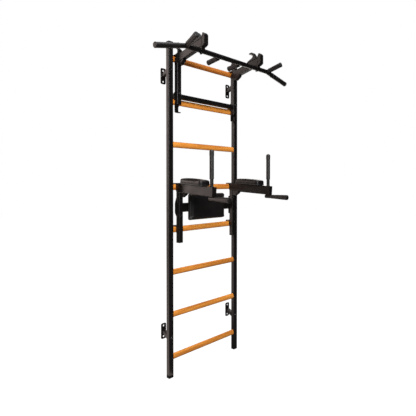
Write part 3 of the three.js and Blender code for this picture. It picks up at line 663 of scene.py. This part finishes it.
def make_pullup_arm():
    low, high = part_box("pullup_arm_right")
    shell = [(-0.5, ARM_REAR), (-0.5, 2088), (-22, 2106), (-34, arm_over(-34))]
    shell += [(ARM_FRONT, arm_over(ARM_FRONT)), (ARM_FRONT, arm_under(ARM_FRONT)), (POST_FACE, ARM_REAR)]
    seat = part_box("rung_1")[1].z * 1000 + 0.3
    hook = [(-19, seat), (29, seat), (29, seat - 14), (35, seat - 14)]
    hook += [(35, seat + 2)] + arc((31, seat + 2), 4, 0, 90, 5) + [(-13, seat + 6)]
    hook += [(-30, 2127), (-30, 2143), (-3, 2166), (-8, 2171), (-38, 2146), (-38, 2113), (-22, 2104)]
    gusset = [(-32.8, ARM_REAR + 2), (-87, arm_under(-87) + 2), (-83, 2064), (-52, 2044), (-32.8, 2044)]
    block = [(SADDLE_REAR, arm_under(SADDLE_REAR) + 2), (SADDLE_REAR, SADDLE_BOTTOM + 4)]
    block += [(SADDLE_REAR - 4, SADDLE_BOTTOM), (ARM_FRONT, SADDLE_BOTTOM)]
    block += [(ARM_FRONT, arm_under(ARM_FRONT) + 2)]
    gusset, block = local_to(FRONT, gusset), local_to(FRONT, block)
    x = (low.x + high.x) / 2
    body = prism("arm", local_to(FRONT, shell), "x", low.x + 0.0001, high.x - 0.0001, edge=0.0032, steps=5)
    strap = prism("hook", local_to(FRONT, hook), "x", low.x, high.x, edge=0.0011)
    brace = prism("gusset", gusset, "x", x - GUSSET_HALF, x + GUSSET_HALF, edge=0.002, steps=4)
    saddle = prism("saddle", block, "x", x - SADDLE_HALF, x + SADDLE_HALF, edge=0.0016, steps=4)
    union(body, strap, brace, saddle)
    seat_radius = BAR_RADIUS + 0.0003
    slot = arc((BAR_AXIS.y, BAR_AXIS.z), seat_radius, 0, 180, 24)
    slot += [(BAR_AXIS.y - seat_radius, BAR_AXIS.z - 0.03), (BAR_AXIS.y + seat_radius, BAR_AXIS.z - 0.03)]
    cut(body, prism("slot", slot, "x", low.x - 0.01, high.x + 0.01, edge=0.0001, steps=1))
    stand_for_pair(body, "pullup_arm")


def make_pullup_hook():
    low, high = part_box("pullup_hook_right")
    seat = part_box("rung_2")[1].z + 0.0003
    plate, thick = 0.005, 0.006
    prong = high.y - thick
    outline = [(low.y, seat), (prong, seat), (prong, low.z), (high.y, low.z), (high.y, seat + 0.002)]
    outline += arc((high.y - 0.004, seat + 0.002), 0.004, 0, 90, 5)
    outline += [(low.y + plate, seat + thick), (low.y + plate, high.z), (low.y, high.z)]
    strap = prism("hook", outline, "x", low.x, high.x, edge=0.001)
    gusset = [(low.y + 0.001, seat + 0.001), (high.y - 0.0035, seat + 0.001), (high.y - 0.0035, seat + 0.009)]
    gusset += [(low.y + 0.010, seat + 0.038), (low.y + 0.001, seat + 0.038)]
    near = prism("gusset", gusset, "x", low.x + 0.0002, low.x + 0.005, edge=0.0008)
    far = prism("gusset", gusset, "x", high.x - 0.005, high.x - 0.0002, edge=0.0008)
    stand_for_pair(union(strap, near, far), "pullup_hook")


def make_crossbar():
    low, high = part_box("pullup_crossbar")
    centre = ((low.y + high.y) / 2, (low.z + high.z) / 2)
    deep, tall = high.y - low.y, high.z - low.z
    bar = hollow("crossbar", box_section(deep, tall, 0.003, centre), "x", low.x, high.x)
    for x in (low.x + 0.0006, high.x - 0.0006):
        weld(bar, [(x, y, z) for y, z in rounded_rect(deep, tall, 0.003, centre)])
    stand_for(bar, "pullup_crossbar")


def bent_path():
    """The main bar's centreline: straight between its two bends, then down to each wing's tip."""
    left = [(-WING_TIP.x + 0.010, WING_TIP.z + 0.0025)]
    turn = math.atan2(BAR_AXIS.z - WING_TIP.z, WING_TIP.x - BAR_BEND)
    half = BEND_RADIUS * math.tan(turn / 2)
    centre = (BAR_BEND - half, BAR_AXIS.z - BEND_RADIUS)
    right = arc(centre, BEND_RADIUS, 90, 90 - math.degrees(turn), 8)
    path = left + [(-x, z) for x, z in reversed(right)] + right + [(-left[0][0], left[0][1])]
    return [Vector((x, BAR_AXIS.y, z)) for x, z in path]


STUBS = {
    "front_grip": ((BAR_BEND, FRONT - 0.236, 2.093), (0.412, FRONT - 0.350, 2.128), 0.020),
    "rear_grip": ((0.101, FRONT - 0.236, 2.093), (0.100, FRONT - 0.122, 2.078), 0.020),
}


def make_main_bar():
    bar = swept("bar", bent_path(), BAR_RADIUS, steps=48)
    for root, tip, _ in STUBS.values():
        for sign in SIDES.values():
            start, end = (Vector((sign * p[0], p[1], p[2])) for p in (root, tip))
            length = (end - start).length - 0.006
            collar = BAR_RADIUS + 0.0035
            profile = [(0, 0), (0.0145, 0), (0.0145, BAR_RADIUS - 0.001), (0.0138, collar - 0.0022)]
            profile += [(0.0126, collar - 0.0006), (STUB_RADIUS, collar), (STUB_RADIUS, length), (0, length)]
            union(bar, turned("stub", profile, start, end, steps=40))
    stand_for(bar, "main_bar")


def make_pullup_grips():
    wing_root = Vector((BAR_BEND, BAR_AXIS.y, BAR_AXIS.z))
    wing_bare = (WING_TIP - wing_root).length - 0.179
    sleeve("wing_grip", wing_root, WING_TIP, wing_bare, BAR_RADIUS + 0.0003, GRIP_RADIUS)
    for stem, (root, tip, bare) in STUBS.items():
        sleeve(stem, root, tip, bare, STUB_RADIUS + 0.0003, GRIP_RADIUS)


def make_barbell_rest():
    """Two prongs with a V between them. The rear prong has a thin neck and a claw."""
    low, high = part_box("barbell_rest_right")
    tip = ARM_FRONT - 0.3
    outline = [(-158, arm_over(-158) + 0.3), (-165, 2153)] + arc((-198, 2184), 15, 250, 115, 12)
    outline += [(-196, 2199)] + arc((-184.5, 2204.5), 4.8, -90, 80, 8)
    outline += arc((-200, 2196.5), 15, 88, 140, 6) + arc((-245, 2174), 10, -28, -150, 10)
    outline += [(-267.5, 2192.4), (-269.6, 2192.6), (-281.2, 2180), (-282, 2178), (-282, 2122.5)]
    outline += [(-281, 2120.5), (-264, 2109.6), (-261.5, 2109), (tip, 2109), (tip, arm_over(tip) + 0.3)]
    body = prism("rest", local_to(FRONT, outline), "x", low.x, high.x, edge=0.0016, steps=4)
    corner = (tip - 0.5, arm_over(tip) + 0.7)
    for x in (low.x + 0.0012, high.x - 0.0012):
        for end in ((-160, arm_over(-160) + 0.7), (tip - 0.5, 2111)):
            weld(body, [(x, y, z) for y, z in local_to(FRONT, [end, corner])], closed=False)
    stand_for_pair(body, "barbell_rest")


def make_pullup_attachment():
    make_pullup_post()
    make_pullup_arm()
    make_pullup_hook()
    make_crossbar()
    make_main_bar()
    make_pullup_grips()
    make_barbell_rest()


# ---- dip station -------------------------------------------------------------------------------------------
ARM_PLACE = (
    Matrix.Translation(ARM_ORIGIN) @ Matrix.Rotation(ARM_DROOP, 4, "X") @ Matrix.Rotation(ARM_SPLAY, 4, "Z")
)
UPRIGHT_GRIP_LOW, UPRIGHT_GRIP_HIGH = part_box("upright_grip_right")
STAND = (UPRIGHT_GRIP_LOW + UPRIGHT_GRIP_HIGH) / 2
HANDLE_ROOT = Vector((0.276, FRONT - 0.313, 1.187))
HANDLE_TIP = Vector((0.288, FRONT - 0.490, 1.182))


def rung_hook(rung, leg):
    """The outline in (y, z) of a hook over a rung, with a leg down its front."""
    rung_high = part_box(rung)[1]
    seat = rung_high.z + 0.0003
    prong, outer = rung_high.y + 0.0015, rung_high.y + 0.009
    tip = seat - 0.018
    outline = [(FRONT + 0.0024, seat - leg), (FRONT + 0.0024, seat), (prong, seat)]
    outline += [(prong, tip), (outer, tip), (outer, seat + 0.003)]
    outline += arc((outer - 0.005, seat + 0.003), 0.005, 0, 90, 5)
    return outline, seat


def make_dip_post():
    low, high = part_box("dip_post_right")
    x = (low.x + high.x) / 2
    wide, deep = high.x - low.x, 0.032
    centre = (x, POST_BACK - deep / 2)
    section = box_section(wide, deep, POST_CORNER, centre)
    body = solid_bar("post", section, "z", low.z, high.z + 0.03, edge=0.0008)
    outline, seat = rung_hook("rung_5", 0.040)
    back = POST_BACK - 0.0012
    outline += [(back, seat + 0.008), (back, seat - 0.040)]
    hook = prism("hook", outline, "x", x - 0.016, x + 0.016, edge=0.001)
    grown = box_section(ARM_WIDE + 0.0006, ARM_TALL + 0.0006, ARM_CORNER, (0, 0))
    space = solid_bar("space", grown, "y", -0.2, 0.06, place=ARM_PLACE)
    stand_for_pair(cut(union(body, hook), space), "dip_post")


def make_dip_arm():
    section = box_section(ARM_WIDE, ARM_TALL, ARM_CORNER, (0, 0))
    body = solid_bar("arm", section, "y", -ARM_LONG, 0, edge=0.0012, place=ARM_PLACE)
    gusset = local_to(FRONT, [(-32.8, 1223), (-88, 1219), (-84, 1205), (-54, 1187), (-32.8, 1187)])
    x = ARM_ORIGIN.x
    brace = prism("gusset", gusset, "x", x - GUSSET_HALF, x + GUSSET_HALF, edge=0.002, steps=4)
    foot = Vector((STAND.x, STAND.y, 1.2300))
    top = UPRIGHT_GRIP_HIGH.z - 0.006 - foot.z
    arm_top = 1.2595 - foot.z
    profile = [(0, 0), (0.0138, 0), (0.0138, arm_top), (0.0128, arm_top + 0.0012), (0.0112, arm_top + 0.003)]
    profile += [(0.011, arm_top + 0.0034), (0.011, top), (0, top)]
    stand = turned("stand", profile, foot, foot + Z, steps=40)
    block = rounded_rect(0.012, 0.034, 0.003, (STAND.x - 0.001, STAND.y + 0.002))
    web = prism("web", block, "z", 1.188, 1.207, edge=0.0015)
    length = (HANDLE_TIP - HANDLE_ROOT).length - 0.006
    tube = [(0, 0), (STUB_RADIUS - 0.003, 0), (STUB_RADIUS - 0.0008, 0.0008), (STUB_RADIUS, 0.003)]
    tube += [(STUB_RADIUS, length), (0, length)]
    handle = turned("handle", tube, HANDLE_ROOT, HANDLE_TIP, steps=40)
    stand_for_pair(union(body, brace, stand, web, handle), "dip_arm")


def make_dip_hook():
    low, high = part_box("dip_hook_right")
    outline, seat = rung_hook("rung_4", 0.046)
    outline += [(low.y, seat + 0.008), (low.y, seat - 0.046)]
    stand_for_pair(prism("hook", outline, "x", low.x, high.x, edge=0.001), "dip_hook")


def make_back_rail():
    low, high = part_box("back_rail")
    rail_low, rail_high = 1.086, 1.146
    centre = ((low.y + high.y) / 2, (rail_low + rail_high) / 2)
    section = box_section(high.y - low.y, rail_high - rail_low, 0.003, centre)
    rail = hollow("rail", section, "x", -0.240, 0.240)
    corners = [(236, 1052), (268, 1052), (284, 1086), (284, 1148), (273, 1182), (236, 1182)]
    for sign in SIDES.values():
        outline = [(sign * u / 1000, v / 1000) for u, v in corners]
        union(rail, prism("plate", outline, "y", low.y + 0.0001, low.y + 0.004, edge=0.0009))
        seam_x, seam_y = sign * 0.2365, low.y + 0.0045
        weld(rail, [(seam_x, seam_y, rail_low), (seam_x, seam_y, rail_high)], closed=False)
    stand_for(rail, "back_rail")


def make_dip_grips():
    centre, top = STAND.copy(), UPRIGHT_GRIP_HIGH.z
    start = Vector((centre.x, centre.y, UPRIGHT_GRIP_LOW.z))
    length = top - start.z
    bore, radius, ridge = 0.0113, 0.0135, 0.0012
    profile = [(0, length - 0.005), (bore, length - 0.005), (bore, 0.001), (bore + 0.0005, 0.0002)]
    profile += [(radius - 0.0010, 0), (radius, 0.0012), (radius, length - 0.037)]
    for ring in range(3):
        foot = length - 0.034 + ring * 0.009
        profile += [(radius + ridge * 0.5, foot - 0.0008), (radius + ridge, foot + 0.0006)]
        profile += [(radius + ridge, foot + 0.0046), (radius + ridge * 0.5, foot + 0.0058)]
        profile += [(radius, foot + 0.0065)]
    dome = radius * 0.62
    for step in range(1, 7):
        angle = math.radians(15 * step)
        profile.append((radius * math.cos(angle), length - dome + dome * math.sin(angle)))
    profile[-1] = (0, length)
    profile = [p for i, p in enumerate(profile) if i < 6 or p[1] <= length]
    stand_for_pair(turned("grip", profile, start, start + Z, steps=48), "upright_grip")

    bare = 0.050
    length = (HANDLE_TIP - HANDLE_ROOT).length - bare
    start = HANDLE_ROOT + (HANDLE_TIP - HANDLE_ROOT).normalized() * bare
    bore, thin, thick = STUB_RADIUS + 0.0003, 0.0132, 0.0170
    profile = [(0, length - 0.005), (bore, length - 0.005), (bore, 0.001), (thin - 0.0004, 0), (thin, 0.0008)]
    for step in range(9):
        share = step / 8
        ease = share * share * (3 - 2 * share)
        profile.append((thin + (thick - 0.0004 - thin) * ease, 0.004 + (length - 0.024) * share))
    profile += [(thick - 0.0016, length - 0.0190), (thick - 0.0016, length - 0.0178)]
    profile += [(thick, length - 0.0168), (thick, length - 0.004)]
    profile += [(thick - 0.0012, length - 0.0014), (thick - 0.004, length), (0, length)]
    stand_for_pair(turned("grip", profile, start, start + (HANDLE_TIP - HANDLE_ROOT), steps=48), "dip_grip")


# ---- pads --------------------------------------------------------------------------------------------------
VOXEL = 0.004
FRAMES = 20
SEAM_STEP = 0.004
SHRINK = 0.0025  # the foam is cut this much smaller than the finished pad, before it swells


def quarter(radius, start, inward, steps=5):
    """Stations of a rounded edge, as (inset, distance): inward 1 opens the form out and -1 closes it."""
    stations = []
    for step in range(steps + 1):
        angle = math.pi / 2 * step / steps
        across, along = radius * (1 - math.sin(angle)), radius * (1 - math.cos(angle))
        stations.append((across, start + along))
    if inward < 0:
        top = start + radius
        stations = [(inset, top - (distance - start)) for inset, distance in reversed(stations)]
    return stations


def cushion_form(name, outline, bottom, top, place, crown, foot=0.004):
    """The cut foam: an outline whose top edge is well rounded over. outline(inset) gives its points."""
    stations = quarter(foot, bottom, 1) + quarter(crown, top - crown, -1)
    return skin(name, [[(u, v, w) for u, v in outline(inset)] for inset, w in stations], place=place)


def upholster(pad, swell, cap, flat_side):
    """Swells the foam with cloth pressure, as it fills its cover.

    The board side, flat_side, stays flat and no point moves further than cap.
    """
    remesh = pad.modifiers.new("remesh", "REMESH")
    remesh.mode = "VOXEL"
    remesh.voxel_size = VOXEL
    apply_modifiers(pad)
    rest = [v.co.copy() for v in pad.data.vertices]
    flat = Vector(flat_side).normalized()
    deepest = max(p.dot(flat) for p in rest)
    held = pad.vertex_groups.new(name="board")
    held.add([i for i, p in enumerate(rest) if p.dot(flat) > deepest - 0.004], 1.0, "REPLACE")
    cloth = pad.modifiers.new("cloth", "CLOTH")
    cloth.settings.use_pressure = True
    cloth.settings.uniform_pressure_force = swell
    cloth.settings.vertex_group_mass = "board"
    cloth.settings.effector_weights.gravity = 0
    cloth.settings.tension_stiffness = 25
    cloth.settings.compression_stiffness = 25
    cloth.point_cache.frame_start, cloth.point_cache.frame_end = 1, FRAMES
    for number in range(1, FRAMES + 1):
        bpy.context.scene.frame_set(number)
    apply_modifiers(pad)
    for v, start in zip(pad.data.vertices, rest):
        move = v.co - start
        if move.length > cap:
            v.co = start + move.normalized() * cap
    bpy.context.scene.frame_set(1)
    smooth = pad.modifiers.new("smooth", "SMOOTH")
    smooth.factor, smooth.iterations = 0.5, 4
    divide = pad.modifiers.new("divide", "SUBSURF")
    divide.levels = divide.render_levels = 1
    apply_modifiers(pad)
    return pad


def apply_modifiers(obj):
    evaluated = obj.evaluated_get(bpy.context.evaluated_depsgraph_get())
    made = bpy.data.meshes.new_from_object(evaluated)
    obj.modifiers.clear()
    obj.data = made


def piping(name, pad, outline_at, place, radius=0.0016):
    """A welt sewn round a pad: it follows an outline, drawn onto the pad's own surface."""
    path = []
    for u, v, w in outline_at:
        wanted = place @ Vector((u, v, w))
        hit, point = pad.closest_point_on_mesh(wanted)[:2]
        path.append(point if hit else wanted)
    for _ in range(2):
        path = [(path[i - 1] + path[i] * 2 + path[(i + 1) % len(path)]) / 4 for i in range(len(path))]
    return swept(name, path, radius, steps=12, closed=True)


def finish_cushion(pad, node):
    pad.data.materials.clear()
    pad.data.materials.append(FINISHES["vinyl_black"][0])
    pad.data.shade_smooth()
    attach(pad, BODY_OF[node])
    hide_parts(node)


PAD_REAR, PAD_FRONT, PAD_WIDE, PAD_TALL, PAD_CORNER = -0.058, -0.276, 0.088, 0.037, 0.020
BOARD_THICK = 0.007


def make_armrest_pad(side, sign):
    node = f"armrest_pad_{side}"
    place = Matrix.Scale(sign, 4, X) @ ARM_PLACE
    down = (place.to_3x3() @ -Z).normalized()
    centre, length = (0, (PAD_REAR + PAD_FRONT) / 2), PAD_REAR - PAD_FRONT
    bottom = ARM_TALL / 2 + 0.0003

    def outline(inset, steps=10):
        corner = PAD_CORNER - min(inset, 0.012)
        return rounded_rect(PAD_WIDE - 2 * inset, length - 2 * inset, corner, centre, steps)

    def foam(inset):
        return outline(inset + SHRINK)

    foam_bottom, foam_top = bottom + BOARD_THICK - 0.003, bottom + PAD_TALL - SHRINK
    form = cushion_form(f"vinyl_{node}", foam, foam_bottom, foam_top, place, 0.011)
    finish_cushion(upholster(form, 4.0, 0.005, down), node)
    seam = [(u, v, bottom + BOARD_THICK + 0.001) for u, v in outline(0.0010)]
    welt = piping(f"vinyl_welt_{node}", form, dense(seam, SEAM_STEP), place)
    finish_piece(welt, node, "vinyl_black")
    board = f"plastic_board_{node}"
    base = prism(board, outline(0.0015), "z", bottom, bottom + BOARD_THICK, 0.001, place=place)
    finish_piece(base, node, "plastic_black")


def make_back_pad():
    node = "back_pad"
    low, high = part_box(node)
    middle = (low + high) / 2
    wide, tall, thick = high.x - low.x, high.z - low.z, high.y - low.y
    # The pad's own frame has z running forward from the back of its board.
    place = basis(X, Z, -Y, (middle.x, high.y, middle.z))

    def outline(inset, steps=10):
        return rounded_rect(wide - 2 * inset, tall - 2 * inset, 0.014 - min(inset, 0.008), (0, 0), steps)

    def foam(inset):
        return outline(inset + SHRINK)

    form = cushion_form(f"vinyl_{node}", foam, BOARD_THICK - 0.003, thick - SHRINK, place, 0.008)
    finish_cushion(upholster(form, 4.0, 0.004, Y), node)
    seam = [(u, v, BOARD_THICK + 0.001) for u, v in outline(0.0010)]
    welt = piping(f"vinyl_welt_{node}", form, dense(seam, SEAM_STEP), place)
    finish_piece(welt, node, "vinyl_black")
    base = prism(f"plastic_board_{node}", outline(0.0015), "z", 0, BOARD_THICK, 0.001, place=place)
    finish_piece(base, node, "plastic_black")


def make_dip_station():
    make_dip_post()
    make_dip_arm()
    make_dip_hook()
    make_back_rail()
    make_dip_grips()
    for side, sign in SIDES.items():
        make_armrest_pad(side, sign)
    make_back_pad()


# ---- floor, light and camera -------------------------------------------------------------------------------
def camera_ray_level(tree, other_rays, camera_rays):
    """A strength that the camera sees at one level and that lights the object at another."""
    ray = tree.nodes.new("ShaderNodeLightPath")
    level = tree.nodes.new("ShaderNodeMapRange")
    level.inputs["To Min"].default_value = other_rays
    level.inputs["To Max"].default_value = camera_rays
    tree.links.new(ray.outputs["Is Camera Ray"], level.inputs["Value"])
    return level.outputs["Result"]


def make_floor():
    bm = bmesh.new()
    bmesh.ops.create_circle(bm, cap_ends=True, radius=14, segments=96)
    floor = object_from("floor", bm)
    material = bpy.data.materials.new("pale_floor")
    material.use_nodes = True
    tree = material.node_tree
    shader = tree.nodes["Principled BSDF"]
    shader.inputs["Base Color"].default_value = (0.12, 0.12, 0.12, 1)
    shader.inputs["Roughness"].default_value = 1.0
    shader.inputs["Specular IOR Level"].default_value = 0.0
    shader.inputs["Emission Color"].default_value = (1, 1, 1, 1)
    tree.links.new(camera_ray_level(tree, 0.02, 1.0), shader.inputs["Emission Strength"])
    floor.data.materials.append(material)


def softbox(name, place, aim, size, watts, colour=(1, 1, 1)):
    light = bpy.data.lights.new(name, "AREA")
    light.shape = "RECTANGLE"
    light.size, light.size_y = size
    light.energy = watts
    light.color = colour
    obj = bpy.data.objects.new(name, light)
    bpy.context.scene.collection.objects.link(obj)
    obj.location = place
    obj.rotation_mode = "QUATERNION"
    obj.rotation_quaternion = (Vector(aim) - Vector(place)).to_track_quat("-Z", "Y")


def make_light():
    world = bpy.data.worlds.new("studio")
    bpy.context.scene.world = world
    world.use_nodes = True
    tree = world.node_tree
    background = tree.nodes["Background"]
    background.inputs["Color"].default_value = (1, 1, 1, 1)
    tree.links.new(camera_ray_level(tree, 0.03, 1.0), background.inputs["Strength"])
    middle = (0, 0, 1.2)
    softbox("key", (-2.6, -3.4, 3.2), middle, (2.4, 2.4), 300)
    softbox("left_sheen", (-4.5, 6.7, 3.5), middle, (2.8, 6.6), 330, (1.0, 0.84, 0.78))
    softbox("left_floor", (-1.6, 2.3, 0.02), (-1.6, 2.3, 2.0), (2.6, 4.4), 62, (1.0, 0.84, 0.78))
    softbox("right_sheen", (3.4, 2.2, 1.8), middle, (2.0, 3.0), 60, (1.0, 0.93, 0.88))
    softbox("top", (0.2, -0.4, 4.6), middle, (2.5, 2.5), 60)
    bpy.context.scene.view_settings.view_transform = "Standard"


IMAGE = 416
FOCAL = 389.9
CENTRE = (211.1, 187.1)


def make_camera():
    data = bpy.data.cameras.new("camera")
    data.sensor_width = 36
    data.lens = FOCAL / IMAGE * data.sensor_width
    data.shift_x = (IMAGE / 2 - CENTRE[0]) / IMAGE
    data.shift_y = (CENTRE[1] - IMAGE / 2) / IMAGE
    camera = bpy.data.objects.new("camera", data)
    bpy.context.scene.collection.objects.link(camera)
    camera.location = (-1.924, FRONT - 1.982, 1.2925)
    yaw, down = math.radians(44.89), math.radians(0.87)
    camera.rotation_euler = (math.pi / 2 - down, 0, -yaw)
    bpy.context.scene.camera = camera


make_camera()
make_light()
make_floor()
make_ladder()
make_bolts()
make_pullup_attachment()
make_dip_station()
